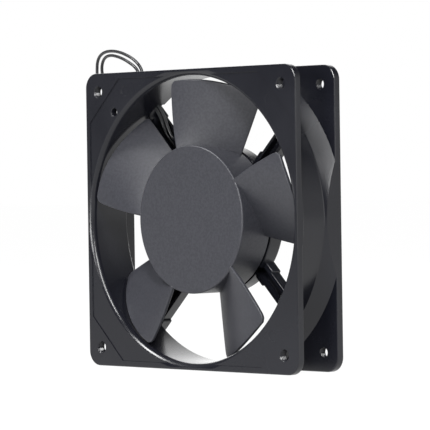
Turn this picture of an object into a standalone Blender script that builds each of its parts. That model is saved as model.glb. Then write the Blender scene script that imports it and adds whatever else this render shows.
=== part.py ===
"""Compact axial fan, 120 x 120 x 25.4 mm: a cast frame, an external-rotor shaded-pole motor and two leads.

World frame: metres, +Z up. The fan stands on the lower edges of its flanges, with its axis along Y and its
inlet face towards -Y. Everything on the fan's own axis is modelled lying down, in a local frame whose +Z
points out of the inlet face, and hangs from one empty that stands it up.
"""

import math

import bmesh
import bpy
import numpy as np
from mathutils import Matrix, Vector

MM = 0.001

# Frame casting
SIDE = 120.0
DEPTH = 25.4
CORNER_R = 6.0
FLANGE = 3.4
HOLE_PITCH = 104.8
HOLE_D = 4.3
THROAT_R = 57.4
TUBE_R = 59.4
INLET_FILLET = 3.0
OUTLET_R = 63.0
FLAT_HALF = 59.0
OUTER_FLARE_R = 64.0
OUTER_FLARE_START = -3.5
PLATE_BORDER = 2.4
PLATE_DIAGONAL = 97.4
PLATE_STEP = 0.35

# Motor base and struts, which are part of the casting
BASE_R = 29.6
BASE_FRONT = -4.9
BASE_BACK = -12.2
BASE_WALL = 2.0
BASE_FLOOR = -9.4
BOSS_R = 8.0
STRUT_WIDTH = 6.6
STRUT_RIB = 1.3
STRUT_FRONT = -7.4
STRUT_FLOOR = -10.7
STRUT_BACK = -12.3

# Impeller
BLADES = 5
HUB_R = 29.6
HUB_WALL = 1.4
HUB_FRONT = 11.6
HUB_FACE = 1.6
HUB_BACK = -4.0
TIP_R = 56.0
BLADE_THICKNESS = 1.5

# Motor
CORE_FRONT = 5.4
CORE_BACK = -2.6
STATOR_R = 21.9
ROTOR_BORE_R = 22.4
ROTOR_R = 27.9
POLES = 4
CAGE_BARS = 12
SLOT_CIRCLE_R = 24.6
TUBE_BORE_R = 4.05
BEARING_R = 4.0
BEARING_WIDTH = 4.0
SHAFT_R = 1.5
FRONT_BEARING_Z = 3.6
REAR_BEARING_Z = -5.0
BALLS = 7
BALL_R = 0.794
BALL_CIRCLE_R = 2.75

# Leads
WIRE_R = 0.65
FIT_GAP = 0.3

FACE = DEPTH / 2


def material(name, colour, roughness, metallic=0.0):
    found = bpy.data.materials.get(name) or bpy.data.materials.new(name)
    found.use_nodes = True
    shader = found.node_tree.nodes["Principled BSDF"]
    shader.inputs["Base Color"].default_value = (*colour, 1.0)
    shader.inputs["Roughness"].default_value = roughness
    shader.inputs["Metallic"].default_value = metallic
    return found


PAINT = ("painted_casting", (0.028, 0.029, 0.033), 0.42)
HUB_PLASTIC = ("hub_plastic", (0.075, 0.076, 0.080), 0.55)
STEEL = ("bright_steel", (0.62, 0.62, 0.63), 0.28, 1.0)
LAMINATION = ("lamination_steel", (0.30, 0.31, 0.33), 0.45, 1.0)
ALUMINIUM = ("cast_aluminium", (0.70, 0.71, 0.72), 0.40, 1.0)
BRASS = ("brass", (0.72, 0.55, 0.25), 0.32, 1.0)
COPPER = ("enamelled_copper", (0.55, 0.22, 0.09), 0.35, 1.0)
NYLON = ("natural_nylon", (0.74, 0.72, 0.64), 0.50)
WIRE_PVC = ("black_insulation", (0.015, 0.015, 0.017), 0.40)
TIN = ("tinned_copper", (0.70, 0.70, 0.68), 0.30, 1.0)
SLEEVE = ("glass_sleeve", (0.80, 0.78, 0.70), 0.65)
NYLON_BLACK = ("black_nylon", (0.02, 0.02, 0.022), 0.45)
CARD = ("label_film", (0.30, 0.31, 0.33), 0.50)


def clear_scene():
    for old in list(bpy.data.objects):
        bpy.data.objects.remove(old)


def collection(name):
    made = bpy.data.collections.new(name)
    bpy.context.scene.collection.children.link(made)
    return made


clear_scene()
PARTS = collection("case_fan")
HELPERS = collection("cutters_and_joined_shapes")

fan_axis = bpy.data.objects.new("fan_axis", None)
fan_axis.location = (0, 0, SIDE / 2 * MM)
fan_axis.rotation_euler = (math.pi / 2, 0, 0)
PARTS.objects.link(fan_axis)

rotor_axis = bpy.data.objects.new("rotor_axis", None)
rotor_axis.parent = fan_axis
PARTS.objects.link(rotor_axis)


def add(name, mesh, finish=None, parent=fan_axis):
    """Put a mesh or a curve in the scene, as a part if it has a finish and as a helper if it has none."""
    obj = bpy.data.objects.new(name, mesh)
    obj.parent = parent
    if finish:
        mesh.materials.append(material(*finish))
        PARTS.objects.link(obj)
    else:
        obj.hide_render = True
        obj.display_type = "WIRE"
        HELPERS.objects.link(obj)
    return obj


def mesh_from(name, bm):
    bmesh.ops.recalc_face_normals(bm, faces=bm.faces)
    mesh = bpy.data.meshes.new(name)
    bm.to_mesh(mesh)
    bm.free()
    mesh.shade_smooth()
    mesh.set_sharp_from_angle(angle=math.radians(35))
    return mesh


def box(name, low, high, finish=None, parent=fan_axis, turn=0.0):
    """A box between two corners in mm, then turned about the local Z axis by `turn` degrees."""
    low, high = Vector(low) * MM, Vector(high) * MM
    bm = bmesh.new()
    bmesh.ops.create_cube(bm, size=1.0)
    bmesh.ops.scale(bm, vec=high - low, verts=bm.verts)
    bmesh.ops.translate(bm, vec=(high + low) / 2, verts=bm.verts)
    bmesh.ops.rotate(bm, cent=(0, 0, 0), matrix=Matrix.Rotation(math.radians(turn), 3, "Z"), verts=bm.verts)
    return add(name, mesh_from(name, bm), finish, parent)


def rod(name, radius, low, high, at=(0, 0), finish=None, parent=fan_axis, sides=32):
    """A cylinder along the local Z axis, from height `low` to `high` in mm."""
    bm = bmesh.new()
    bmesh.ops.create_cone(
        bm, cap_ends=True, segments=sides, radius1=radius * MM, radius2=radius * MM, depth=(high - low) * MM
    )
    bmesh.ops.translate(bm, vec=(at[0] * MM, at[1] * MM, (high + low) / 2 * MM), verts=bm.verts)
    return add(name, mesh_from(name, bm), finish, parent)


def turned(name, profile, steps, closed, finish=None, parent=fan_axis):
    """A turned shape: (radius, height) points in mm, outer side first, round the local Z axis."""
    mesh = bpy.data.meshes.new(name)
    points = [(r * MM, 0, z * MM) for r, z in profile]
    edges = [(i, i + 1) for i in range(len(points) - 1)]
    if closed:
        edges.append((len(points) - 1, 0))
    mesh.from_pydata(points, edges, [])
    obj = add(name, mesh, finish, parent)
    screw = obj.modifiers.new("Screw", "SCREW")
    screw.steps = screw.render_steps = steps
    screw.use_merge_vertices = True
    screw.merge_threshold = 0.00001
    screw.use_smooth_shade = True
    return obj


def ring(name, outer, inner, high, low, steps=32, finish=None, parent=fan_axis):
    profile = [(outer, high), (outer, low), (inner, low), (inner, high)]
    return turned(name, profile, steps, True, finish, parent)


def plate(name, outline, low, high, finish=None, parent=fan_axis, hole=()):
    """A flat outline in mm, with a hole if one is given, extruded between two heights, as a mesh."""
    curve = bpy.data.curves.new(name, "CURVE")
    curve.dimensions = "2D"
    curve.fill_mode = "BOTH"
    curve.extrude = (high - low) / 2 * MM
    for edge in filter(None, (outline, hole)):
        spline = curve.splines.new("POLY")
        spline.points.add(len(edge) - 1)
        for point, (x, y) in zip(spline.points, edge):
            point.co = (x * MM, y * MM, 0, 1)
        spline.use_cyclic_u = True
    flat = bpy.data.objects.new(name + "_outline", curve)
    HELPERS.objects.link(flat)
    bpy.context.view_layer.update()
    mesh = bpy.data.meshes.new_from_object(flat.evaluated_get(bpy.context.evaluated_depsgraph_get()))
    bpy.data.objects.remove(flat)
    bm = bmesh.new()
    bm.from_mesh(mesh)
    bmesh.ops.remove_doubles(bm, verts=bm.verts, dist=0.00001)
    bmesh.ops.translate(bm, vec=(0, 0, (low + high) / 2 * MM), verts=bm.verts)
    return add(name, mesh_from(name, bm), finish, parent)


def arc(cx, cy, radius, start, end, steps):
    """Points along an arc in mm, from `start` to `end` degrees, both ends included."""
    angles = np.radians(np.linspace(start, end, steps + 1))
    return [(cx + radius * math.cos(a), cy + radius * math.sin(a)) for a in angles]


def rounded_square(half, radius, steps=6):
    inner = half - radius
    corners = [(inner, inner, 0), (-inner, inner, 90), (-inner, -inner, 180), (inner, -inner, 270)]
    return [p for x, y, a in corners for p in arc(x, y, radius, a, a + 90, steps)]


def boolean(obj, operation, *others):
    for other in others:
        step = obj.modifiers.new(other.name, "BOOLEAN")
        step.operation = operation
        step.solver = "EXACT"
        step.object = other


def cut(obj, *others):
    boolean(obj, "DIFFERENCE", *others)


def join(obj, *others):
    boolean(obj, "UNION", *others)


def polar(radius, angle):
    return radius * math.cos(math.radians(angle)), radius * math.sin(math.radians(angle))


# --- Frame casting -----------------------------------------------------------------------------------------


def inlet_profile(steps=6):
    """Quarter round from the inlet face down to the throat."""
    centre_r, centre_z = THROAT_R + INLET_FILLET, FACE - INLET_FILLET
    return [(centre_r - (x - centre_r), y) for x, y in arc(centre_r, centre_z, INLET_FILLET, 90, 0, steps)]


def make_air_passage():
    """The bore cutter: a turned shape, kept inside the square so that flat walls are left at mid-side."""
    outlet_start = -FACE + (OUTLET_R - THROAT_R)
    profile = [(0, FACE + 2), (THROAT_R + INLET_FILLET, FACE + 2)]
    profile += inlet_profile()
    profile += [(THROAT_R, outlet_start), (OUTLET_R, -FACE), (OUTLET_R, -FACE - 2), (0, -FACE - 2)]
    passage = turned("air_passage", profile, 60, False)
    limit = box("air_passage_limit", (-FLAT_HALF, -FLAT_HALF, -20), (FLAT_HALF, FLAT_HALF, 20))
    boolean(passage, "INTERSECT", limit)
    return passage


def make_plate_step():
    """Cutter for the shallow eight-sided step in the inlet face, inside its border and corner pads."""
    half = SIDE / 2 - PLATE_BORDER
    rest = PLATE_DIAGONAL - half
    corners = [(half, -rest), (half, rest), (rest, half), (-rest, half)]
    outline = corners + [(-x, -y) for x, y in corners]
    return plate("plate_step", outline, FACE - PLATE_STEP, FACE + 1)


def make_strut(angle):
    """A strut seen along the fan's axis: a straight bar with a wider pad at each end."""
    half, pad = STRUT_WIDTH / 2, STRUT_WIDTH / 2 + 0.9
    side = [(BASE_R - 1.5, pad), (33.4, pad), (34.6, half), (55.2, half), (56.2, pad), (62.0, pad)]
    outline = [(x, -y) for x, y in side] + side[::-1]
    strut = plate(f"strut_{angle}", outline, STRUT_BACK, STRUT_FRONT)
    strut.data.transform(Matrix.Rotation(math.radians(angle), 4, "Z"))
    return strut


def make_channel(angle):
    half = STRUT_WIDTH / 2 - STRUT_RIB
    return box(f"channel_{angle}", (BASE_R - 4.0, -half, STRUT_FLOOR), (55.0, half, 0), turn=angle)


def make_frame():
    frame = plate("frame", rounded_square(SIDE / 2, CORNER_R), FACE - FLANGE, FACE, PAINT)
    rear_flange = plate("rear_flange", rounded_square(SIDE / 2, CORNER_R), -FACE, -FACE + FLANGE)
    flare_end = -FACE + FLANGE
    tube_profile = [(0, FACE - 1), (TUBE_R, FACE - 1), (TUBE_R, OUTER_FLARE_START)]
    tube_profile += [(OUTER_FLARE_R, flare_end), (OUTER_FLARE_R, -FACE + 1), (0, -FACE + 1)]
    tube = turned("tube", tube_profile, 60, False)
    outline = plate("frame_outline", rounded_square(SIDE / 2, CORNER_R), -FACE - 1, FACE + 1)
    join(frame, rear_flange, tube)
    boolean(frame, "INTERSECT", outline)
    cut(frame, make_air_passage())

    dish = [(0, BASE_FRONT), (BASE_R - 1.2, BASE_FRONT), (BASE_R, BASE_FRONT - 0.4)]
    dish += [(BASE_R, -11.0), (BASE_R - 1.2, BASE_BACK), (0, BASE_BACK)]
    base = turned("motor_base", dish, 48, False)
    join(frame, base)
    for angle in (45, 135, 225, 315):
        join(frame, make_strut(angle))
    cut(frame, rod("base_hollow", BASE_R - BASE_WALL, BASE_FLOOR, 0, sides=48))
    for angle in (45, 135, 225, 315):
        cut(frame, make_channel(angle))
    join(frame, rod("base_boss", BOSS_R, BASE_BACK + 0.5, -7.6, sides=24))
    cut(frame, rod("boss_bore", 5.3, -20, 0, sides=24))
    cut(frame, rod("label_recess", 24.3, -20, BASE_BACK + 0.6, sides=40))

    cut(frame, make_plate_step())
    far = HOLE_PITCH / 2
    for index, (x, y) in enumerate(((far, far), (-far, far), (-far, -far), (far, -far))):
        cut(frame, rod(f"screw_hole_{index}", HOLE_D / 2, -20, 20, (x, y), sides=16))
    cut(frame, rod("earth_hole", 1.65, 0, 20, (-43.2, 43.9), sides=12))
    for index, (x, y) in enumerate(((45.8, 46.6), (45.8, -45.2), (-36.5, 52.4))):
        face = FACE - PLATE_STEP
        cut(frame, rod(f"ejector_mark_{index}", 2.1, face - 0.15, 20, (x, y), sides=12))

    # Way out for the leads: through the upper rib of the strut, then through the wall of the air tube.
    cut(frame, box("rib_notch", (43.5, -3.6, STRUT_FLOOR), (57.0, 0, 0), turn=135))
    cut(frame, box("tube_notch", (-40.2, 39.0, -9.3), (-33.2, 52.0, -3.0)))


# --- Impeller ----------------------------------------------------------------------------------------------


def blade_point(span, chord):
    """Mid-surface of one blade in mm. span runs from 0 in the hub wall to 1 at the tip, chord from 0 at the
    leading edge to 1 at the trailing edge."""
    radius = HUB_R - 0.8 + (TIP_R - HUB_R + 0.8) * span
    lead_angle = 33.5 - 5.2 * span
    trail_angle = -12.0 + 0.8 * span
    corner = max(0.0, (radius - (TIP_R - 3.0)) / 3.0)
    lead_angle -= 1.8 * (1 - math.sqrt(1 - corner * corner))
    trail_angle += 1.0 * (1 - math.sqrt(1 - corner * corner))
    lead_z = 10.6 - 0.5 * span
    drop = 13.9 - 0.9 * span
    bow = 0.30 + 0.88 * span
    fall = drop * ((1 - bow) * chord + bow * chord * chord)
    x, y = polar(radius, lead_angle + (trail_angle - lead_angle) * chord)
    return Vector((x, y, lead_z - fall)) * MM


def make_blade(index):
    """A grid laid on the blade's mid-surface and thickened."""
    across, along = 7, 11
    bm = bmesh.new()
    bmesh.ops.create_grid(bm, x_segments=across, y_segments=along, size=0.5)
    for vert in bm.verts:
        vert.co = blade_point(vert.co.x + 0.5, vert.co.y + 0.5)
    turn = Matrix.Rotation(math.tau * index / BLADES, 3, "Z")
    bmesh.ops.rotate(bm, cent=(0, 0, 0), matrix=turn, verts=bm.verts)
    blade = add(f"blade_{index}", mesh_from(f"blade_{index}", bm))
    solid = blade.modifiers.new("Thickness", "SOLIDIFY")
    solid.thickness = BLADE_THICKNESS * MM
    solid.offset = 0
    solid.use_even_offset = False
    return blade


def make_impeller():
    """Hub cup, open at the back, with an inner boss round the shaft boss and five blades on its wall."""
    inner = HUB_R - HUB_WALL
    under = HUB_FRONT - HUB_FACE
    profile = [(0, HUB_FRONT), (HUB_R - 0.4, HUB_FRONT), (HUB_R, HUB_FRONT - 0.4), (HUB_R, HUB_BACK)]
    profile += [(inner, HUB_BACK), (inner, under), (6.3, under)]
    profile += [(6.3, 8.4), (4.3, 8.4), (4.3, under), (0, under)]
    impeller = turned("impeller", profile, 56, False, HUB_PLASTIC, rotor_axis)
    join(impeller, *[make_blade(index) for index in range(BLADES)])


# --- Rotor -------------------------------------------------------------------------------------------------


def make_rotor():
    core = ring("rotor_core", ROTOR_R, ROTOR_BORE_R, CORE_FRONT, CORE_BACK, 48, LAMINATION, rotor_axis)
    for index in range(CAGE_BARS):
        place = polar(SLOT_CIRCLE_R, 360 * index / CAGE_BARS + 2.3)
        cut(core, rod(f"rotor_slot_{index}", 1.25, CORE_BACK - 1, CORE_FRONT + 1, place, sides=8))
    cage = ring("rotor_cage", 27.2, 22.6, CORE_FRONT + 1.7, CORE_FRONT + 0.3, 36, ALUMINIUM, rotor_axis)
    back_ring = ring("cage_back_ring", 27.2, 22.6, CORE_BACK - 0.3, CORE_BACK - 1.3, 36)
    for index in range(CAGE_BARS):
        place = polar(SLOT_CIRCLE_R, 360 * index / CAGE_BARS + 2.3)
        join(cage, rod(f"cage_bar_{index}", 0.95, CORE_BACK - 0.8, CORE_FRONT + 0.8, place, sides=6))
    join(cage, back_ring)

    shaft = [(0, 9.6), (SHAFT_R - 0.2, 9.6), (SHAFT_R, 9.4), (SHAFT_R, -7.7), (1.15, -7.7), (1.15, -8.3)]
    shaft += [(SHAFT_R, -8.3), (SHAFT_R, -8.8), (SHAFT_R - 0.3, -9.1), (0, -9.1)]
    turned("shaft", shaft, 24, False, STEEL, rotor_axis)
    boss = [(4.0, 9.6), (4.0, 8.0), (5.9, 8.0), (5.9, 7.2), (3.0, 7.2), (3.0, 6.6), (1.55, 6.6), (1.55, 9.6)]
    turned("shaft_boss", boss, 32, True, BRASS, rotor_axis)
    ring("retaining_ring", 2.6, 1.25, -7.8, -8.2, 24, STEEL, rotor_axis)
    gap = box("retaining_ring_mouth", (0, -0.8, -9), (4, 0.8, -7), parent=rotor_axis)
    cut(bpy.data.objects["retaining_ring"], gap)
    ring("thrust_washer", 2.6, 1.6, -7.1, -7.5, 24, NYLON, rotor_axis)


# --- Bearings ----------------------------------------------------------------------------------------------


def groove(radius_of_land, towards_axis, steps=3):
    """Ball track: an arc about the ball circle, as (radius, height) points from land to land."""
    track_r = BALL_R + 0.08
    reach = math.degrees(math.acos(min(1.0, abs(BALL_CIRCLE_R - radius_of_land) / track_r)))
    sign = -1 if towards_axis else 1
    angles = np.radians(np.linspace(reach, -reach, steps + 1))
    return [(BALL_CIRCLE_R + sign * track_r * math.cos(a), track_r * math.sin(a)) for a in angles]


def make_bearing(side, height):
    """Deep groove ball bearing: two rings, and the balls joined to their cage as one solid."""
    half = BEARING_WIDTH / 2
    outer = [(BEARING_R, half), (BEARING_R, -half), (3.35, -half)]
    outer += list(reversed(groove(3.35, False))) + [(3.35, half)]
    inner = [(2.15, half)] + groove(2.15, True) + [(2.15, -half), (1.55, -half), (1.55, half)]
    turned(f"{side}_bearing_outer_ring", [(r, z + height) for r, z in outer], 24, True, STEEL)
    turned(f"{side}_bearing_inner_ring", [(r, z + height) for r, z in inner], 20, True, STEEL, rotor_axis)
    balls = ring(f"{side}_bearing_balls", 3.1, 2.4, height + 0.45, height - 0.45, 14, STEEL)
    for index in range(BALLS):
        bm = bmesh.new()
        bmesh.ops.create_uvsphere(bm, u_segments=8, v_segments=6, radius=BALL_R * MM)
        x, y = polar(BALL_CIRCLE_R, 360 * index / BALLS)
        bmesh.ops.translate(bm, vec=(x * MM, y * MM, height * MM), verts=bm.verts)
        name = f"{side}_ball_{index}"
        join(balls, add(name, mesh_from(name, bm)))


def make_preload_spring():
    """Wave washer between the shaft boss and the front bearing's inner ring."""
    low, high, thick, crest = FRONT_BEARING_Z + BEARING_WIDTH / 2, 6.6, 0.25, 0.14
    middle = (low + high) / 2
    washer = ring("preload_spring", 2.6, 1.62, middle + thick / 2, middle - thick / 2, 36, STEEL, rotor_axis)
    solid = bpy.data.meshes.new_from_object(washer.evaluated_get(bpy.context.evaluated_depsgraph_get()))
    washer.modifiers.clear()
    washer.data = solid
    for vert in solid.vertices:
        vert.co.z += crest * MM * math.sin(3 * math.atan2(vert.co.y, vert.co.x))


# --- Stator ------------------------------------------------------------------------------------------------


def stator_outline():
    """Four salient poles with wide shoes round a hub, one quarter after another."""
    shoe_in = STATOR_R - 3.2
    neck, neck_root, root = 4.4, 4.6, 8.6
    points = []
    for pole in range(POLES):
        turn = 90 * pole
        base = math.degrees(math.asin(neck_root / root))
        under = math.degrees(math.asin(neck / shoe_in))
        points += [polar(root, turn - base), polar(shoe_in, turn - under)]
        points += [polar(shoe_in, turn - 37)]
        points += arc(0, 0, STATOR_R, turn - 39, turn + 39, 14)
        points += [polar(shoe_in, turn + 37), polar(shoe_in, turn + under), polar(root, turn + base)]
    return points


def insulator_outline():
    """The winding former: a hub ring with four arms, each ending in a straight flange under the pole shoe."""
    arm, flange, near, far, root = 4.9, 7.1, 15.7, 17.2, 8.8
    quarter = [(math.sqrt(root**2 - 5.1**2), -5.1), (near, -arm), (near, -flange), (far, 0.3 - flange)]
    quarter += [(x, -y) for x, y in reversed(quarter)]
    points = []
    for pole in range(POLES):
        turn = Matrix.Rotation(math.tau * pole / POLES, 2)
        points += [tuple(turn @ Vector(p)) for p in quarter]
    return points


def make_coil(index):
    """A winding round one pole neck: a rounded rectangular ring of wire, as one solid."""
    middle = (CORE_FRONT + CORE_BACK) / 2
    reach = (CORE_FRONT - CORE_BACK) / 2
    coil = plate_ring(f"coil_{index + 1}", 5.25, reach + 1.55, 2.0, 9.4, 15.4)
    coil.location = (0, 0, middle * MM)
    coil.rotation_euler = (0, 0, math.tau * index / POLES)


def rectangle(half_x, half_y, radius, steps=3):
    x, y = half_x - radius, half_y - radius
    corners = [(x, y, 0), (-x, y, 90), (-x, -y, 180), (x, -y, 270)]
    return [p for cx, cy, a in corners for p in arc(cx, cy, radius, a, a + 90, steps)]


def plate_ring(name, half_x, half_y, thickness, near, far):
    """A rounded rectangular ring standing across the pole: its hole faces along the local X axis."""
    solid = plate(name, rectangle(half_x + thickness, half_y + thickness - 0.2, 2.4), near, far, COPPER)
    hole = plate(name + "_opening", rectangle(half_x, half_y, 0.5, 2), near - 1, far + 1)
    axes = Matrix(((0, 0, 1), (1, 0, 0), (0, 1, 0))).to_4x4()
    for obj in (solid, hole):
        obj.data.transform(axes)
    cut(solid, hole)
    hole.parent = solid
    return solid


def make_stator():
    core = plate("stator_core", stator_outline(), CORE_BACK, CORE_FRONT, LAMINATION)
    cut(core, rod("stator_bore", 5.3, CORE_BACK - 1, CORE_FRONT + 1, sides=36))
    for pole in range(POLES):
        slot_turn = 90 * pole + 23.3
        low, high = (19.1, -0.7, CORE_BACK - 1), (23, 0.7, CORE_FRONT + 1)
        cut(core, box(f"shading_slot_{pole}", low, high, turn=slot_turn))
        make_coil(pole)
        make_shading_ring(pole, slot_turn)
    for name, low, high in (
        ("front_insulator", CORE_FRONT + 0.3, CORE_FRONT + 1.2),
        ("rear_insulator", CORE_BACK - 1.2, CORE_BACK - 0.3),
    ):
        plate(name, insulator_outline(), low, high, NYLON, hole=arc(0, 0, 5.4, 5, 350, 23))


def make_shading_ring(pole, slot_turn):
    """A bent copper strap: one leg in the slot of the shoe, the other past the tip of the shoe."""
    name = f"shading_ring_{pole + 1}"
    inner_r, outer_r = 19.5, 21.3
    last = slot_turn + 18.6
    top, bottom = CORE_FRONT + 1.0, CORE_BACK - 1.0
    outline = arc(0, 0, outer_r, slot_turn - 0.95, last, 6) + arc(0, 0, inner_r, last, slot_turn - 0.95, 6)
    strap = plate(name, outline, bottom, top, COPPER)
    window = arc(0, 0, outer_r + 2, slot_turn + 1.0, last - 2.2, 6)
    window += arc(0, 0, 15, last - 2.2, slot_turn + 1.0, 6)
    cut(strap, plate(name + "_window", window, CORE_BACK - 0.35, CORE_FRONT + 0.35))


def make_bearing_tube():
    """Brass tube pressed into the base boss, with an inner lip at the bottom under the rear bearing."""
    profile = [(5.0, 6.0), (5.0, -11.0), (3.0, -11.0), (3.0, -9.6), (TUBE_BORE_R, -9.6), (TUBE_BORE_R, 6.0)]
    turned("bearing_tube", profile, 32, True, BRASS)


# --- Leads -------------------------------------------------------------------------------------------------


def smooth_path(points, count):
    """`count` points at even spacing along one smooth curve through the given points."""
    points = [Vector(p) for p in points]
    ends = [2 * points[0] - points[1]] + points + [2 * points[-1] - points[-2]]
    fine = []
    for a, b, c, d in zip(ends, ends[1:], ends[2:], ends[3:]):
        for t in np.linspace(0, 1, 16, endpoint=False):
            square, cube = (2 * a - 5 * b + 4 * c - d) * t**2, (3 * b - a - 3 * c + d) * t**3
            fine.append(0.5 * (2 * b + (c - a) * t + square + cube))
    fine.append(points[-1])
    lengths = np.cumsum([0] + [(q - p).length for p, q in zip(fine, fine[1:])])
    places = np.linspace(0, lengths[-1], count)
    axes = np.array([tuple(p) for p in fine])
    return [tuple(np.interp(s, lengths, axes[:, k]) for k in range(3)) for s in places]


def wire(name, points, count, radius=WIRE_R, finish=WIRE_PVC):
    """A round wire through world points in mm."""
    curve = bpy.data.curves.new(name, "CURVE")
    curve.dimensions = "3D"
    curve.bevel_depth = radius * MM
    curve.bevel_resolution = 2
    curve.use_fill_caps = True
    spline = curve.splines.new("POLY")
    spline.points.add(count - 1)
    for point, place in zip(spline.points, smooth_path(points, count)):
        point.co = (*(v * MM for v in place), 1)
    return add(name, curve, finish, None)


def world(x, y, z):
    """World place in mm of a point in the fan's own frame."""
    return x, -z, y + SIDE / 2


# Routes of the two leads between the motor and the top of the clip, in the fan's own frame
INNER_ROUTES = {
    "inner_lead_a": [
        (-17.2, 19.5, -7.2), (-18.9, 20.5, -7.6), (-21.8, 23.2, -9.0), (-26.4, 27.5, -9.8),
        (-30.4, 31.6, -9.8), (-32.4, 34.2, -9.5), (-33.7, 38.0, -8.6), (-34.6, 42.5, -7.4),
        (-35.8, 46.8, -5.4), (-37.8, 50.0, -2.6), (-39.3, 52.0, -0.9), (-39.7, 54.0, -0.4),
        (-39.7, 57.0, -0.4), (-39.7, 59.6, -0.4),
    ],
    "inner_lead_b": [
        (-19.5, 17.2, -7.2), (-20.5, 18.9, -7.6), (-23.2, 21.8, -9.0), (-27.5, 26.4, -9.8),
        (-32.0, 31.0, -9.8), (-34.4, 33.8, -9.5), (-35.9, 37.8, -8.6), (-36.9, 42.2, -7.4),
        (-38.1, 46.2, -5.4), (-40.2, 49.8, -2.6), (-41.6, 52.0, -0.9), (-41.9, 54.0, -0.4),
        (-41.9, 57.0, -0.4), (-41.9, 59.6, -0.4),
    ],
}

# Routes of the two free leads, world millimetres: out of the clip, over to the left, down beside the frame
# and along the surface that the fan stands on, to the coils
FREE_ROUTES = {
    "lead_a": [
        (-39.7, 0.4, 120.0), (-40.0, 0.4, 121.3), (-41.8, 0.4, 123.6), (-45.2, 0.6, 125.9),
        (-49.0, 1.0, 127.5), (-53.6, 1.6, 128.9), (-59.2, 2.6, 129.8), (-65.0, 3.8, 129.8),
        (-69.8, 5.0, 128.6), (-72.9, 6.0, 126.1), (-74.3, 6.8, 122.0), (-74.8, 7.4, 115.0),
        (-74.9, 8.0, 106.0), (-74.4, 8.8, 94.0), (-73.4, 9.6, 80.0), (-72.4, 10.4, 65.0),
        (-71.7, 11.0, 50.0), (-71.4, 11.6, 36.0), (-71.4, 12.0, 25.0), (-71.9, 12.0, 16.0),
        (-73.4, 11.7, 8.8), (-76.2, 11.8, 3.9), (-79.4, 12.9, 1.55), (-81.4, 15.2, 1.25),
        (-81.9, 17.6, 1.25),
    ],
    "lead_b": [
        (-41.9, 0.4, 120.0), (-42.6, 0.5, 121.2), (-44.9, 0.7, 123.0), (-48.2, 1.1, 124.6),
        (-52.2, 1.6, 126.2), (-56.5, 2.2, 127.4), (-61.3, 3.2, 128.1), (-65.8, 4.4, 127.7),
        (-68.9, 5.4, 126.0), (-70.6, 6.2, 122.9), (-70.8, 7.0, 118.2), (-70.2, 7.8, 111.0),
        (-69.2, 8.8, 100.0), (-67.8, 10.0, 87.0), (-66.4, 11.0, 73.0), (-65.1, 12.0, 59.0),
        (-64.0, 13.0, 45.0), (-63.3, 14.0, 32.5), (-62.9, 15.0, 22.0), (-63.1, 15.7, 14.0),
        (-64.0, 16.2, 8.6), (-65.6, 16.2, 5.6), (-67.6, 16.1, 4.3),
    ],
}

CLIP_X = -40.8
CLIP_LOW, CLIP_HIGH = 53.0, 59.6
LEAD_X = {"a": -39.7, "b": -41.9}

# The two coils lie on each other, behind the frame, and one tie holds both
COIL_X, COIL_Y, COIL_R = -74.0, 24.0, 7.6
COIL_HALF, COIL_HEIGHT = 1.4, 2.6
COIL_LOW = {"a": 0.6, "b": 3.5}
TIPS = {
    "a": [(-67.6, 31.9, 1.25), (-61.6, 32.3, 0.9)],
    "b": [(-64.6, 27.2, 3.9), (-59.8, 24.4, 1.4)],
}


def make_clip():
    """Wire clip between the flanges: a block with two wire holes, and a finger that stands up beside them."""
    half = FACE - FLANGE - FIT_GAP
    clip = box("wire_clip", (CLIP_X - 4.4, CLIP_LOW, -half), (CLIP_X + 4.4, CLIP_HIGH, half), NYLON_BLACK)
    finger = box("clip_finger", (CLIP_X + 2.6, CLIP_LOW + 1, -1.8), (CLIP_X + 4.2, 62.8, 1.8))
    join(clip, finger)
    for name, x in LEAD_X.items():
        hole = rod(f"clip_hole_{name}", WIRE_R + FIT_GAP, -6, 6, sides=12)
        hole.data.transform(Matrix.Rotation(math.pi / 2, 4, "X"))
        hole.data.transform(Matrix.Translation(Vector((x, (CLIP_LOW + CLIP_HIGH) / 2, -0.4)) * MM))
        cut(clip, hole)
    for side, low, high in (("front", 3.2, half - 2.2), ("rear", 2.2 - half, -3.2)):
        corners = (CLIP_X - 5, CLIP_LOW + 2.2, low), (CLIP_X + 5, CLIP_HIGH - 2.2, high)
        cut(clip, box(f"clip_waist_{side}", *corners))


def make_leads():
    for name, route in INNER_ROUTES.items():
        wire(name, [world(*p) for p in route], 26)
    for name, (x, y) in {"a": (-12.7, 15.0), "b": (-15.0, 12.7)}.items():
        ends = [world(x, y, -7.2), world(x - 4.2, y + 4.2, -7.2)]
        wire(f"splice_sleeve_{name}", ends, 2, 1.1, SLEEVE)
    for name, route in FREE_ROUTES.items():
        wire(name, route, 46)
    for name, low in COIL_LOW.items():
        outer, inner = COIL_R + COIL_HALF, COIL_R - COIL_HALF
        coil = ring(f"lead_{name}_coil", outer, inner, low + COIL_HEIGHT, low, 24, WIRE_PVC, None)
        coil.location = (COIL_X * MM, COIL_Y * MM, 0)
        wire(f"lead_{name}_tip", TIPS[name], 2, 0.4, TIN)


def make_tie():
    """A flat strap closed round both coils."""
    low, high = 0.0, COIL_LOW["b"] + COIL_HEIGHT + FIT_GAP + 0.6
    outer, inner = COIL_R + COIL_HALF + FIT_GAP + 0.7, COIL_R - COIL_HALF - FIT_GAP - 0.7
    tie = box("lead_tie", (inner, -1.25, low), (outer, 1.25, high), NYLON_BLACK, None, -25)
    wall = 0.5
    hole = box("tie_opening", (inner + wall, -3, low + 0.3), (outer - wall, 3, high - wall), None, None, -25)
    cut(tie, hole)
    for obj in (tie, hole):
        obj.location = (COIL_X * MM, COIL_Y * MM, 0)


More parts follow.
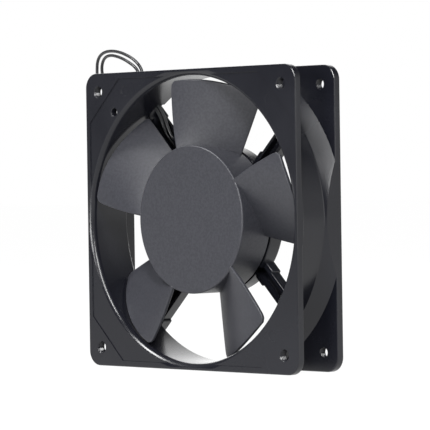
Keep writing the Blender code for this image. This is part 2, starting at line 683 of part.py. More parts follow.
make_frame()
make_impeller()
make_rotor()
make_bearing("front", FRONT_BEARING_Z)
make_bearing("rear", REAR_BEARING_Z)
make_preload_spring()
ring("bearing_spacer", 3.95, 3.45, 1.3, -2.7, 20, STEEL)
make_stator()
make_bearing_tube()
rod("rear_label", 23.9, BASE_BACK + 0.05, BASE_BACK + 0.3, (0, 0), CARD, fan_axis, 40)
make_clip()
make_leads()
make_tie()
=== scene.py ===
# %% [markdown]
# # A compact axial fan in a square cast frame
# The real thing is a black aluminium casting with a moulded impeller on an outer-rotor motor, and two thin
# leads. The engineering model gives every size and every moving body. This lesson loads it, then builds a
# finer skin for each piece that shows, in the same place and on the same moving bodies.

import math

import bmesh
import bpy
import numpy as np
from mathutils import Matrix, Vector


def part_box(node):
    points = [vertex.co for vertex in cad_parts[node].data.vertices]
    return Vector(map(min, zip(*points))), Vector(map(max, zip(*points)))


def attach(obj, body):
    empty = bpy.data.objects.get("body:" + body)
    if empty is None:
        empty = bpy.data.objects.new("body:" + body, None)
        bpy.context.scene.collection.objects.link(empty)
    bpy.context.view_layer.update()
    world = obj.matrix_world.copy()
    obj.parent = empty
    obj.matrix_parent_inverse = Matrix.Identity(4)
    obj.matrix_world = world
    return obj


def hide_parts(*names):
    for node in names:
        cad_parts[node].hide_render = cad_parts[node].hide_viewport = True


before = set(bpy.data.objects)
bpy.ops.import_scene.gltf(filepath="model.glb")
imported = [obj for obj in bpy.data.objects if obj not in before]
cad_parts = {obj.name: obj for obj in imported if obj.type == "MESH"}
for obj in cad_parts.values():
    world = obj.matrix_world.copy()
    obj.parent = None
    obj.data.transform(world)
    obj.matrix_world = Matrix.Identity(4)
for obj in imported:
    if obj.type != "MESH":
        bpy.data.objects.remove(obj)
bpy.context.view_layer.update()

# %% [markdown]
# Pieces are drawn lying down, in millimetres, with +Z coming out of the inlet face, because every drawing of
# such a fan is made that way. One matrix then stands them up, taken from the casting's own box, so that each
# finished object can stay at the origin, unturned and unscaled.

# %% Fan-to-world matrix and the main sizes
MM = 0.001
low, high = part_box("frame")
centre = (low + high) / 2
SIDE = (high.x - low.x) / MM
DEPTH = (high.y - low.y) / MM
HALF, FACE = SIDE / 2, DEPTH / 2
STAND = Matrix.Translation(centre) @ Matrix.Rotation(math.pi / 2, 4, "X") @ Matrix.Scale(MM, 4)
print(f"casting {SIDE:.1f} x {SIDE:.1f} x {DEPTH:.1f} mm")

# %% [markdown]
# ## Camera
# A long lens from a good metre away, a little above the fan's middle and well round to its right, keeps the
# two flanges nearly parallel. A slight roll leans the picture by less than a degree, as a hand-set tripod
# does.

# %% Camera
AZIMUTH, ELEVATION, ROLL = math.radians(45.74), math.radians(0.805), math.radians(-0.848)
DISTANCE = 1.1607

lens = bpy.data.cameras.new("camera")
lens.sensor_width = 36
lens.lens = 242.3
lens.shift_x, lens.shift_y = 0.0094, 0.0093
lens.clip_start, lens.clip_end = 0.05, 50
camera = bpy.data.objects.new("camera", lens)
bpy.context.scene.collection.objects.link(camera)
bpy.context.scene.camera = camera
back = Vector(
    (math.sin(AZIMUTH) * math.cos(ELEVATION), -math.cos(AZIMUTH) * math.cos(ELEVATION), math.sin(ELEVATION))
)
side = Vector((0, 0, 1)).cross(back).normalized()
rise = back.cross(side)
right = math.cos(ROLL) * side + math.sin(ROLL) * rise
camera.matrix_world = Matrix.Translation(centre + DISTANCE * back) @ Matrix(
    (right, back.cross(right), back)
).transposed().to_4x4()
print("camera at", [round(v, 3) for v in camera.location])

# %% [markdown]
# ## Shader arithmetic
# A finish is a small sum: a base tone plus a little grain plus a little wear. Wiring Math nodes by hand hides
# that sum, so a class wraps a socket and lets Python's own operators add the nodes.

# %% Signal and Finish


class Signal:
    """A number that varies over a surface, usable in ordinary arithmetic."""

    def __init__(self, socket):
        self.socket = socket

    def _math(self, operation, *values):
        tree = self.socket.id_data
        node = tree.nodes.new("ShaderNodeMath")
        node.operation = operation
        for entry, value in zip(node.inputs, values):
            if isinstance(value, Signal):
                tree.links.new(value.socket, entry)
            else:
                entry.default_value = value
        return Signal(node.outputs[0])

    def __add__(self, other):
        return self._math("ADD", self, other)

    def __radd__(self, other):
        return self._math("ADD", other, self)

    def __mul__(self, other):
        return self._math("MULTIPLY", self, other)

    def __rmul__(self, other):
        return self._math("MULTIPLY", other, self)

    def wave(self):
        return self._math("SINE", self)

    def band(self, start, end):
        """0 below start, 1 above end, smooth between."""
        node = self.socket.id_data.nodes.new("ShaderNodeMapRange")
        node.interpolation_type = "SMOOTHSTEP"
        self.socket.id_data.links.new(self.socket, node.inputs["Value"])
        node.inputs["From Min"].default_value = start
        node.inputs["From Max"].default_value = end
        return Signal(node.outputs["Result"])


class Finish:
    """One material: a Principled shader, with constants on its sockets and signals wired where they vary."""

    def __init__(self, name, **constants):
        self.material = bpy.data.materials.new(name)
        self.material.use_nodes = True
        self.tree = self.material.node_tree
        self.shader = self.tree.nodes["Principled BSDF"]
        for socket, value in constants.items():
            self.shader.inputs[socket.replace("_", " ")].default_value = value

    def make(self, kind, settings, sockets, output=0):
        """Any node: its settings first, then the values or links of its sockets."""
        node = self.tree.nodes.new(kind)
        for key, value in settings.items():
            setattr(node, key, value)
        for key, value in sockets.items():
            if isinstance(value, Signal):
                self.tree.links.new(value.socket, node.inputs[key])
            else:
                node.inputs[key].default_value = value
        return Signal(node.outputs[output])

    def place(self):
        return self.make("ShaderNodeTexCoord", {}, {}, "Object")

    def noise(self, scale, detail=3.0, roughness=0.5, vector=None):
        """Fractal noise; scale is in cells per metre."""
        sockets = {"Vector": vector or self.place(), "Scale": scale, "Detail": detail, "Roughness": roughness}
        return self.make("ShaderNodeTexNoise", {}, sockets, "Fac")

    def stretched(self, stretch):
        """Object coordinates pulled along each axis, for grain that runs one way."""
        return self.make("ShaderNodeMapping", {}, {"Vector": self.place(), "Scale": stretch})

    def axis(self, index):
        return self.make("ShaderNodeSeparateXYZ", {}, {"Vector": self.place()}, index)

    def from_fan_axis(self):
        """Distance from the fan's own axis, in metres."""
        shifted = self.make("ShaderNodeMapping", {}, {"Vector": self.place(), "Location": (0, 0, -centre.z)})
        flat = self.make("ShaderNodeVectorMath", {"operation": "MULTIPLY"}, {0: shifted, 1: (1, 0, 1)})
        return self.make("ShaderNodeVectorMath", {"operation": "LENGTH"}, {0: flat}, "Value")

    def blend(self, factor, first, second):
        settings = {"data_type": "RGBA"}
        sockets = {"Factor": factor, 6: (*first, 1), 7: (*second, 1)}
        return self.make("ShaderNodeMix", settings, sockets, 2)

    def feed(self, socket, signal):
        self.tree.links.new(signal.socket, self.shader.inputs[socket])
        return self

    def bump(self, height, distance, strength=1.0):
        """Height is a signal from 0 to 1, distance its full depth in metres."""
        return self.feed("Normal", self.make("ShaderNodeBump", {}, {
            "Height": height, "Distance": distance, "Strength": strength}))


print("shader arithmetic ready")

# %% [markdown]
# ## Finishes that show
# The casting is painted a cold near-black, fairly glossy, with a slight orange peel and cloudy patches
# that are a touch rougher. The impeller is moulded from a greyer plastic with an even spark-eroded grain,
# so it scatters light and reads lighter than the paint. The wires have smooth soft insulation.

# %% Painted casting
paint = Finish("painted_casting", Specular_IOR_Level=0.42)
peel = paint.noise(700, 2.0)
cloud = paint.noise(26, 3.0)
dust = paint.noise(5200, 1.0)
near_black, soft_black = (0.0050, 0.0053, 0.0080), (0.0075, 0.0079, 0.0112)
paint.feed("Base Color", paint.blend(cloud.band(0.3, 0.75), near_black, soft_black))
paint.feed("Roughness", 0.20 + 0.07 * cloud.band(0.35, 0.7) + 0.03 * dust)
paint.bump(0.7 * peel + 0.3 * dust, 0.000010, 0.5)

# %% Impeller plastic
plastic = Finish("hub_plastic", Specular_IOR_Level=0.4)
grain = plastic.noise(4200, 2.0, 0.6)
speck = plastic.noise(1100, 3.0)
flow = plastic.noise(30, 2.0)
charcoal, slate = (0.022, 0.0226, 0.0280), (0.031, 0.0317, 0.0380)
plastic.feed("Base Color", plastic.blend(speck.band(0.3, 0.7), charcoal, slate))
plastic.feed("Roughness", 0.34 + 0.10 * grain + 0.05 * flow)
plastic.bump(grain, 0.000034, 1.0)

# %% Wire insulation and black nylon
sheath = Finish("black_insulation", Specular_IOR_Level=0.5)
smear = sheath.noise(240, 2.0)
sheath.feed("Base Color", sheath.blend(smear.band(0.3, 0.7), (0.008, 0.008, 0.009), (0.016, 0.016, 0.018)))
sheath.feed("Roughness", 0.26 + 0.16 * smear)
sheath.bump(sheath.noise(1800, 2.0), 0.00002, 0.5)

nylon = Finish("black_nylon", Specular_IOR_Level=0.45)
skin = nylon.noise(2400, 2.0)
nylon.feed("Base Color", nylon.blend(skin.band(0.3, 0.7), (0.012, 0.012, 0.013), (0.022, 0.022, 0.024)))
nylon.feed("Roughness", 0.36 + 0.16 * skin)
nylon.bump(skin, 0.00003, 0.6)
print("finishes that show:", len(bpy.data.materials))

# %% [markdown]
# ## Finishes inside the motor
# Nobody sees these until the fan is taken apart, but each part still gets what it is made of: stacked sheet
# steel shows its edges as fine lines, a winding shows its turns with painted shade in the grooves between
# them, and a turned part shows rings.

# %% Stacked sheet steel
SHEET = 0.0005
stack = Finish("lamination_steel", Metallic=0.9)
sheets = (stack.axis("Y") * (2 * math.pi / SHEET)).wave()
oil = stack.noise(180, 3.0)
stack.feed("Base Color", stack.blend(sheets.band(-0.4, 0.9), (0.16, 0.165, 0.175), (0.33, 0.34, 0.36)))
stack.feed("Roughness", 0.36 + 0.2 * oil)
stack.bump(sheets.band(-0.9, 0.6), 0.00008)


# %% Turned metals
TOOL_MARK = 0.00022


def turned_metal(name, dark, light, roughness):
    """Metal cut on a lathe: fine rings about the fan's axis, crossed by a faint stain."""
    finish = Finish(name, Metallic=1.0)
    rings = (finish.from_fan_axis() * (2 * math.pi / TOOL_MARK)).wave()
    stain = finish.noise(320, 3.0)
    finish.feed("Base Color", finish.blend(stain.band(0.3, 0.72), dark, light))
    finish.feed("Roughness", roughness + 0.06 * rings + 0.12 * stain)
    finish.bump(rings.band(-1, 1), 0.000012, 0.5)
    return finish


steel = turned_metal("bright_steel", (0.47, 0.47, 0.48), (0.66, 0.66, 0.67), 0.20)
brass = turned_metal("brass", (0.55, 0.38, 0.15), (0.78, 0.60, 0.29), 0.24)
print("turned metals: steel and brass")

# %% Cast aluminium, copper and nylon
cast = Finish("cast_aluminium", Metallic=0.95)
pores = cast.noise(900, 4.0)
cast.feed("Base Color", cast.blend(pores.band(0.3, 0.7), (0.50, 0.51, 0.52), (0.72, 0.73, 0.74)))
cast.feed("Roughness", 0.38 + 0.22 * pores)
cast.bump(pores, 0.00008)


WINDING_WIRE = 0.00032


def winding(name, axis):
    """Enamelled copper wire wound side by side: `axis` is the one the pole points along."""
    finish = Finish(name, Metallic=0.85)
    turns = (finish.axis(axis) * (2 * math.pi / WINDING_WIRE)).wave()
    tone = finish.noise(500, 2.0)
    # The dark copper in the grooves between turns is painted shade; the light copper is the wire's own
    # colour.
    finish.feed("Base Color", finish.blend(turns.band(-0.9, 0.7), (0.11, 0.030, 0.010), (0.62, 0.24, 0.09)))
    finish.feed("Roughness", 0.24 + 0.14 * tone)
    finish.bump(turns.band(-1, 1), WINDING_WIRE / 3)
    return finish


copper_across = winding("enamelled_copper_across", "X")
copper_up = winding("enamelled_copper_up", "Z")
copper = Finish("enamelled_copper", Metallic=0.95)
tarnish = copper.noise(420, 3.0)
copper.feed("Base Color", copper.blend(tarnish.band(0.3, 0.7), (0.34, 0.13, 0.06), (0.66, 0.32, 0.18)))
copper.feed("Roughness", 0.30 + 0.18 * tarnish)

natural = Finish("natural_nylon", Subsurface_Weight=0.15)
milky = natural.noise(300, 2.0)
natural.feed("Base Color", natural.blend(milky.band(0.3, 0.7), (0.62, 0.59, 0.50), (0.76, 0.74, 0.66)))
natural.feed("Roughness", 0.42 + 0.12 * milky)

sleeving = Finish("glass_sleeve")
BRAID = 9000
weave = (sleeving.axis("X") * BRAID).wave() * (sleeving.axis("Z") * BRAID).wave()
sleeving.feed("Base Color", sleeving.blend(weave.band(-0.6, 0.6), (0.58, 0.55, 0.46), (0.84, 0.82, 0.75)))
sleeving.feed("Roughness", 0.62 + 0.1 * weave.band(-1, 1))
sleeving.bump(weave.band(-1, 1), 0.00012)

tin = Finish("tinned_copper", Metallic=1.0)
dull = tin.noise(1600, 2.0)
tin.feed("Base Color", tin.blend(dull.band(0.3, 0.7), (0.52, 0.50, 0.46), (0.76, 0.75, 0.72)))
tin.feed("Roughness", 0.24 + 0.2 * dull)

film = Finish("label_film", Metallic=0.35)
brushed = film.noise(60, 4.0, 0.6, film.stretched((4, 1, 60)))
film.feed("Base Color", film.blend(brushed.band(0.3, 0.7), (0.25, 0.26, 0.28), (0.36, 0.37, 0.39)))
film.feed("Roughness", 0.36 + 0.16 * brushed)
film.bump(film.noise(90, 2.0), 0.00012, 0.5)
print("finishes in all:", len(bpy.data.materials))

# %% [markdown]
# ## Tools for solids
# Each solid starts from one of Blender's own shapes. `turning` spins a profile, `slab` rounds a box's four
# upright corners and then its rims, and `carve` runs exact Booleans with ready-rounded cutters, so that the
# fillet of an edge comes with the tool that cuts it, as it does from a real mould.

# %% Solids


def edges_where(bm, test):
    return [edge for edge in bm.edges if test(*[vert.co for vert in edge.verts])]


def round_edges(bm, edges, width, segments=3):
    bmesh.ops.bevel(
        bm, geom=edges, offset=width, offset_type="OFFSET", segments=segments, profile=0.5, affect="EDGES",
        material=-1, clamp_overlap=True)


def turning(profile, steps=192):
    """Spin (radius, height) points round the Z axis into a closed solid."""
    bm = bmesh.new()
    chain = [bm.verts.new((r, 0, z)) for r, z in profile]
    links = [bm.edges.new(pair) for pair in zip(chain, chain[1:])]
    if min(profile[0][0], profile[-1][0]) > 0:
        links.append(bm.edges.new((chain[-1], chain[0])))
    bmesh.ops.spin(
        bm, geom=chain + links, cent=(0, 0, 0), axis=(0, 0, 1), angle=math.tau, steps=steps, use_merge=True)
    bmesh.ops.remove_doubles(bm, verts=bm.verts, dist=1e-4)
    bmesh.ops.recalc_face_normals(bm, faces=bm.faces)
    return bm


def slab(low, high, corner=0.0, rim=0.0, corner_segments=10, rim_segments=3):
    """A box between two corners, its upright edges rounded by `corner` and its rims by `rim`."""
    low, high = Vector(low), Vector(high)
    bm = bmesh.new()
    bmesh.ops.create_cube(bm, size=1.0)
    bmesh.ops.scale(bm, vec=high - low, verts=bm.verts)
    bmesh.ops.translate(bm, vec=(high + low) / 2, verts=bm.verts)
    if corner:
        round_edges(bm, edges_where(bm, lambda a, b: abs(a.z - b.z) > 1e-4), corner, corner_segments)
    if rim:
        rims = edges_where(bm, lambda a, b: abs(a.z - b.z) < 1e-4)
        round_edges(bm, rims, rim, rim_segments)
    return bm


def fillet(cx, cy, radius, start, end, steps=8):
    """Points on an arc, for the rounded corner of a turned profile."""
    return [
        (cx + radius * math.cos(math.radians(a)), cy + radius * math.sin(math.radians(a)))
        for a in np.linspace(start, end, steps + 1)
    ]


def turn_about_z(bm, degrees):
    turn = Matrix.Rotation(math.radians(degrees), 3, "Z")
    bmesh.ops.rotate(bm, cent=(0, 0, 0), matrix=turn, verts=bm.verts)
    return bm


def move(bm, *offset):
    bmesh.ops.translate(bm, vec=offset, verts=bm.verts)
    return bm


def blank(bm, name="blank"):
    mesh = bpy.data.meshes.new(name)
    bm.to_mesh(mesh)
    bm.free()
    made = bpy.data.objects.new(name, mesh)
    bpy.context.scene.collection.objects.link(made)
    return made


def carve(work, operation, *tools):
    """Boolean a bmesh with others, one after another, and give back a bmesh."""
    base = blank(work)
    helpers = [blank(tool, "tool") for tool in tools]
    for helper in helpers:
        step = base.modifiers.new("step", "BOOLEAN")
        step.operation, step.solver, step.object = operation, "EXACT", helper
    result = bmesh.new()
    result.from_object(base, bpy.context.evaluated_depsgraph_get())
    for helper in [base, *helpers]:
        bpy.data.objects.remove(helper)
    return result


def piece(name, bm, finish, body, nodes=(), place=STAND, crease=32):
    """Stand a solid up, give it its finish, and let it ride on its body in place of the named nodes."""
    bm.transform(place)
    bmesh.ops.recalc_face_normals(bm, faces=bm.faces)
    mesh = bpy.data.meshes.new(name)
    bm.to_mesh(mesh)
    bm.free()
    mesh.shade_smooth()
    mesh.set_sharp_from_angle(angle=math.radians(crease))
    mesh.materials.append(finish.material)
    made = bpy.data.objects.new(name, mesh)
    bpy.context.scene.collection.objects.link(made)
    flat = made.modifiers.new("flat faces stay flat", "WEIGHTED_NORMAL")
    flat.keep_sharp = True
    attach(made, body)
    if nodes:
        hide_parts(*nodes)
    print(f"{name}: {len(mesh.polygons)} faces")
    return made


# %% [markdown]
# ## The two leads
# Each lead is nominally 300 mm of thin stranded wire. It comes up out of the clip between the flanges,
# arches over to the side, hangs down beside the frame and lies on the table. What is left over is wound
# into a small coil beside and behind the frame, and a strap holds both coils. The end is stripped and
# tinned. A lead is one curve along its own centreline, so its true length can be measured.

# %% Lead routes
LEAD_R = 0.65
FREE_ROUTES = {
    "lead_a": [
        (-39.7, 0.4, 119.7), (-40.0, 0.4, 121.3), (-41.8, 0.4, 123.6), (-45.2, 0.6, 125.9),
        (-49.0, 1.0, 127.5), (-53.6, 1.6, 128.9), (-59.2, 2.6, 129.8), (-65.0, 3.8, 129.8),
        (-69.8, 5.0, 128.6), (-72.9, 6.0, 126.1), (-74.3, 6.8, 122.0), (-74.8, 7.4, 115.0),
        (-74.9, 8.0, 106.0), (-74.4, 8.8, 94.0), (-73.4, 9.6, 80.0), (-72.4, 10.4, 65.0),
        (-71.7, 11.0, 50.0), (-71.4, 11.6, 36.0), (-71.4, 12.0, 25.0), (-71.9, 12.0, 16.0),
        (-73.4, 11.7, 8.8), (-76.2, 11.8, 3.9), (-79.4, 12.9, 1.55), (-81.4, 15.2, 1.25),
    ],
    "lead_b": [
        (-41.9, 0.4, 119.7), (-42.6, 0.5, 121.2), (-44.9, 0.7, 123.0), (-48.2, 1.1, 124.6),
        (-52.2, 1.6, 126.2), (-56.5, 2.2, 127.4), (-61.3, 3.2, 128.1), (-65.8, 4.4, 127.7),
        (-68.9, 5.4, 126.0), (-70.6, 6.2, 122.9), (-70.8, 7.0, 118.2), (-70.2, 7.8, 111.0),
        (-69.2, 8.8, 100.0), (-67.8, 10.0, 87.0), (-66.4, 11.0, 73.0), (-65.1, 12.0, 59.0),
        (-64.0, 13.0, 45.0), (-63.3, 14.0, 32.5), (-62.9, 15.0, 22.0), (-63.1, 15.7, 14.0),
        (-64.0, 16.2, 8.6), (-65.6, 16.2, 5.6),
    ],
}
COIL_AT, COIL_R, TRACK = (-74.0, 24.0), 7.6, 0.65
COILS = {
    "lead_a": {
        "low": 0.6, "start": 219, "end": 92, "turns": 2,
        "tip": [(-67.6, 31.9, 1.25), (-61.6, 32.3, 0.9)],
    },
    "lead_b": {
        "low": 3.5, "start": 309, "end": 42, "turns": 2,
        "tip": [(-64.6, 27.2, 3.9), (-59.8, 24.4, 1.4)],
    },
}
# A lead joins and leaves its coil at this radius.
JOIN_R = 10.17
# Where it changes track, in turns: inwards from the start, outwards and upwards before the end.
INWARDS, OUTWARDS, UPWARDS = (0.72, 0.98), (0.62, 0.36), (0.95, 0.65)
JOIN_TURNS, LEAVE_TURNS = 0.17, 0.16
# Points along a coil, in degrees: the first, the gap kept before the end, and the step.
FIRST_POINT, END_GAP, POINT_STEP = 8, 20, 15


def ease(value, start, end):
    t = min(1.0, max(0.0, (value - start) / (end - start)))
    return t * t * (3 - 2 * t)


def coil_points(low, start, end, turns, tip):
    """Clockwise turns on four tracks: outer low, inner low, inner high, outer high, then out to the tip."""
    sweep = (start - end) % 360 + 360 * turns
    total = sweep / 360
    points = []
    for degrees in np.arange(FIRST_POINT, sweep - END_GAP, POINT_STEP):
        turn = degrees / 360
        inward = ease(turn, *INWARDS) - ease(turn, total - OUTWARDS[0], total - OUTWARDS[1])
        radius = COIL_R + TRACK - 2 * TRACK * inward
        height = low + TRACK + 2 * TRACK * ease(turn, total - UPWARDS[0], total - UPWARDS[1])
        radius += (JOIN_R - COIL_R - TRACK) * (1 - ease(turn, 0, JOIN_TURNS))
        leave = ease(turn, total - LEAVE_TURNS, total)
        radius += (JOIN_R - radius) * leave
        height += (tip[0][2] - height) * leave
        angle = math.radians(start - degrees)
        points.append((COIL_AT[0] + radius * math.cos(angle), COIL_AT[1] + radius * math.sin(angle), height))
    return points + [tip[0]]


def flow_through(points, spacing=1.1):
    """Even points along one smooth curve through the given ones."""
    given = np.array(points, float)
    ends = np.vstack([2 * given[0] - given[1], given, 2 * given[-1] - given[-2]])
    fine = []
    for a, b, c, d in zip(ends, ends[1:], ends[2:], ends[3:]):
        for t in np.linspace(0, 1, 12, endpoint=False):
            bend = (2 * a - 5 * b + 4 * c - d) * t**2 + (3 * b - a - 3 * c + d) * t**3
            fine.append(0.5 * (2 * b + (c - a) * t + bend))
    fine = np.array(fine + [given[-1]])
    along = np.concatenate([[0], np.cumsum(np.linalg.norm(np.diff(fine, axis=0), axis=1))])
    places = np.linspace(0, along[-1], max(2, round(along[-1] / spacing)) + 1)
    return np.column_stack([np.interp(places, along, fine[:, k]) for k in range(3)]), along[-1]


def wire(name, points, radius, finish, spacing=1.1, round_steps=5):
    """A round wire through world points in mm, as one open curve."""
    path, length = flow_through(points, spacing)
    line = bpy.data.curves.new(name, "CURVE")
    line.dimensions = "3D"
    line.bevel_depth = radius * MM
    line.bevel_resolution = round_steps
    line.use_fill_caps = True
    spline = line.splines.new("POLY")
    spline.points.add(len(path) - 1)
    for point, place in zip(spline.points, path):
        point.co = (*(place * MM), 1)
    spline.use_smooth = True
    made = bpy.data.objects.new(name, line)
    bpy.context.scene.collection.objects.link(made)
    line.materials.append(finish.material)
    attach(made, "housing")
    print(f"{name}: {length:.1f} mm long, {len(path)} points")
    return made


# %% [markdown]
# A stripped end is a little bundle of tinned strands, six twisted round one. Each strand is a thin curve, and
# all seven are turned into one mesh.

# %% Leads and their stripped ends
STRANDS, STRAND_R, STRAND_CIRCLE_R = 7, 0.13, 0.27
STRAND_STEPS, STRAND_TWIST, HIDDEN_START = 24, 15, 0.8


def stripped_end(name, tip, nodes):
    start, end = Vector(tip[0]), Vector(tip[1])
    along = (end - start).normalized()
    side = along.cross(Vector((0, 0, 1))).normalized()
    up = along.cross(side)
    start = start - HIDDEN_START * along
    bm = bmesh.new()
    for strand in range(STRANDS):
        line = bpy.data.curves.new("strand", "CURVE")
        line.dimensions, line.bevel_depth, line.bevel_resolution = "3D", STRAND_R * MM, 2
        line.use_fill_caps = True
        spline = line.splines.new("POLY")
        spline.points.add(STRAND_STEPS)
        reach = STRAND_CIRCLE_R if strand < STRANDS - 1 else 0.0
        for step, point in enumerate(spline.points):
            angle = math.radians(60 * strand + STRAND_TWIST * step)
            offset = reach * (math.cos(angle) * side + math.sin(angle) * up)
            point.co = (*((start + (end - start) * step / STRAND_STEPS + offset) * MM), 1)
        shape = bpy.data.objects.new("strand", line)
        bpy.context.scene.collection.objects.link(shape)
        bm.from_mesh(bpy.data.meshes.new_from_object(shape))
        bpy.data.objects.remove(shape)
    bmesh.ops.remove_doubles(bm, verts=bm.verts, dist=1e-6)
    return piece(name, bm, tin, "housing", nodes, Matrix())


def loose_strap():
    """A flat strap closed round both coils, with its square lock on the outer side."""
    outer, inner = COIL_R + 2.4, COIL_R - 2.4
    half_width = 1.25
    band = slab((inner, -half_width, 0.0), (outer, half_width, 7.0), 0, 0.25, rim_segments=2)
    band = carve(band, "DIFFERENCE", slab((inner + 0.5, -3, 0.3), (outer - 0.5, 3, 6.5)))
    lock = slab((outer - 0.15, -half_width, 2.2), (outer + 0.3, half_width, 4.8), 0, 0.1, rim_segments=2)
    strap = turn_about_z(carve(band, "UNION", lock), -25)
    place = Matrix.Translation((COIL_AT[0] * MM, COIL_AT[1] * MM, 0)) @ Matrix.Scale(MM, 4)
    return piece("coil_strap", strap, nylon, "housing", ["lead_tie"], place)


strap = loose_strap()
for lead, route in FREE_ROUTES.items():
    cord = wire(f"{lead}_cord", route + coil_points(**COILS[lead]), LEAD_R, sheath)
    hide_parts(lead, f"{lead}_coil")
    tip = stripped_end(f"{lead}_stripped", COILS[lead]["tip"], [f"{lead}_tip"])

# %% [markdown]
# ## The casting
# The real frame is one die casting: two square flanges, a round air tube between them, a dished motor base
# and four channel struts. It could be one outline with modifiers, but each part of it has its own edge
# radius, so the solids are rounded first and joined second. The tools that cut it carry the inlet's quarter
# round and the small breaks at the screw holes.

# %% Flanges, tube and air passage
FLANGE, CORNER_R, EDGE = 3.4, 6.0, 0.55
THROAT_R, TUBE_R, LIP_R = 57.4, 59.4, 3.0
OUTLET_R, FLAT_HALF, FLARE_R, NECK_R = 63.0, 59.0, 64.0, 1.4
STRUT_ANGLES = (45, 135, 225, 315)


def flange(low, high):
    return slab((-HALF, -HALF, low), (HALF, HALF, high), CORNER_R, EDGE, 12)


def outer_tube():
    """The tube's outside, faired into the front flange and flared into the rear one."""
    profile = [(0, FACE - 1), (TUBE_R + NECK_R, FACE - 1), (TUBE_R + NECK_R, FACE - FLANGE - 0.02)]
    profile += fillet(TUBE_R + NECK_R, FACE - FLANGE - 1.42, NECK_R, 90, 180, 6)
    profile += [(TUBE_R, -3.1), (TUBE_R + 0.16, -3.8)]
    profile += [(FLARE_R, -FACE + FLANGE), (FLARE_R, -FACE + 1), (0, -FACE + 1)]
    return turning(profile)


def air_passage():
    """Quarter round at the inlet, straight throat, cone at the outlet, kept inside the square."""
    lip = fillet(THROAT_R + LIP_R, FACE - LIP_R, LIP_R, 90, 180, 12)
    cone = -FACE + (OUTLET_R - THROAT_R)
    profile = [(0, FACE + 2), (THROAT_R + LIP_R + 0.25, FACE + 2), (THROAT_R + LIP_R + 0.25, FACE + 0.02)]
    profile += [(r, z) for r, z in lip] + [(THROAT_R, cone + 0.6), (THROAT_R + 0.25, cone)]
    profile += [(OUTLET_R - 0.2, -FACE + 0.45), (OUTLET_R + 0.3, -FACE - 0.02), (OUTLET_R + 0.3, -FACE - 2)]
    core = turning(profile + [(0, -FACE - 2)])
    limit = slab((-FLAT_HALF, -FLAT_HALF, -20), (FLAT_HALF, FLAT_HALF, 20), 3.0, 0, 4)
    return carve(core, "INTERSECT", limit)


casting = carve(flange(FACE - FLANGE, FACE), "UNION", flange(-FACE, -FACE + FLANGE), outer_tube())
casting = carve(casting, "INTERSECT", slab((-HALF, -HALF, -20), (HALF, HALF, 20), CORNER_R, 0, 12))
casting = carve(casting, "DIFFERENCE", air_passage())
print("casting so far:", len(casting.faces), "faces")

# %% [markdown]
# The motor base is a shallow dish that the motor's stator sits in. Four struts carry it from the tube. Each
# is a channel open to the front with two thin ribs, with a wider pad at either end. A strut is a long slab;
# its pads are two more, and the channel is a rounded slab cut out of it.

# %% Motor base, struts and channels
BASE_R, BASE_FRONT, BASE_BACK, BASE_FLOOR, BASE_WALL = 29.6, -4.9, -12.2, -9.4, 2.0
STRUT_HALF, STRUT_FRONT, STRUT_FLOOR, STRUT_BACK, RIB = 3.3, -7.4, -10.7, -12.3, 1.3


def motor_base():
    profile = [(0, BASE_FRONT), (BASE_R - 1.2, BASE_FRONT)]
    profile += [(BASE_R - 0.5, BASE_FRONT - 0.12), (BASE_R - 0.12, BASE_FRONT - 0.35)]
    profile += [(BASE_R, BASE_FRONT - 0.8)]
    profile += fillet(BASE_R - 1.4, BASE_BACK + 1.4, 1.4, 0, -90, 6)
    return turning(profile + [(0, BASE_BACK)], 144)


def strut(angle):
    bar = slab((BASE_R - 1.5, -STRUT_HALF, STRUT_BACK), (62.0, STRUT_HALF, STRUT_FRONT), 0, 0.35)
    pads = []
    for near, far in ((BASE_R - 1.4, 34.0), (55.6, 61.9)):
        low = (near, -STRUT_HALF - 0.9, STRUT_BACK + 0.02)
        pads.append(slab(low, (far, STRUT_HALF + 0.9, STRUT_FRONT - 0.02), 0.6, 0.3, 3))
    return turn_about_z(carve(bar, "UNION", *pads), angle)


def channel(angle):
    half = STRUT_HALF - RIB
    return turn_about_z(slab((BASE_R - 4.0, -half, STRUT_FLOOR), (55.0, half, 0), 0.5, 0.5, 3), angle)


casting = carve(casting, "UNION", motor_base(), *[strut(angle) for angle in STRUT_ANGLES])
WELL_R = BASE_R - BASE_WALL
hollow = turning([(0, 0), (WELL_R + 0.3, 0), (WELL_R + 0.3, BASE_FRONT - 0.2), (WELL_R, BASE_FRONT - 0.5),
                  (WELL_R, BASE_FLOOR + 0.5), (WELL_R - 0.5, BASE_FLOOR), (0, BASE_FLOOR)], 144)
casting = carve(casting, "DIFFERENCE", hollow, *[channel(angle) for angle in STRUT_ANGLES])
boss = turning([(0, -7.6), (7.7, -7.6), (8.0, -7.9), (8.0, BASE_BACK + 0.5), (0, BASE_BACK + 0.5)], 64)
bore = turning([(0, 0), (5.3, 0), (5.3, -20), (0, -20)], 64)
label_seat = turning([(0, -20), (24.5, -20), (24.5, BASE_BACK), (24.3, BASE_BACK + 0.2),
                      (24.3, BASE_BACK + 0.6), (0, BASE_BACK + 0.6)], 128)
casting = carve(carve(casting, "UNION", boss), "DIFFERENCE", bore, label_seat)
print("casting with base and struts:", len(casting.faces), "faces")

# %% [markdown]
# The inlet face is sunk by a third of a millimetre inside a thin border and four corner pads, which leaves
# an eight-sided line. The screw holes are self-threaded, so each is cut by a tool with shallow grooves. Small
# round ejector marks and one earth-screw hole finish the face. The wires leave their strut through a gap in
# one rib and a slot in the tube wall.

# %% Details of the inlet face
HOLE_AT, HOLE_R = 52.4, 2.15
HOLE_BREAK, GROOVES, THREAD_PITCH, THREAD_DEPTH = 0.35, 4, 0.7, 0.22
BORDER, DIAGONAL, STEP = 2.4, 97.4, 0.35
EARTH_AT, EARTH_R = (-43.2, 43.9), 1.65
MARKS_AT, MARK_R, MARK_DEPTH = ((45.8, 46.6), (45.8, -45.2), (-36.5, 52.4)), 2.15, 0.15


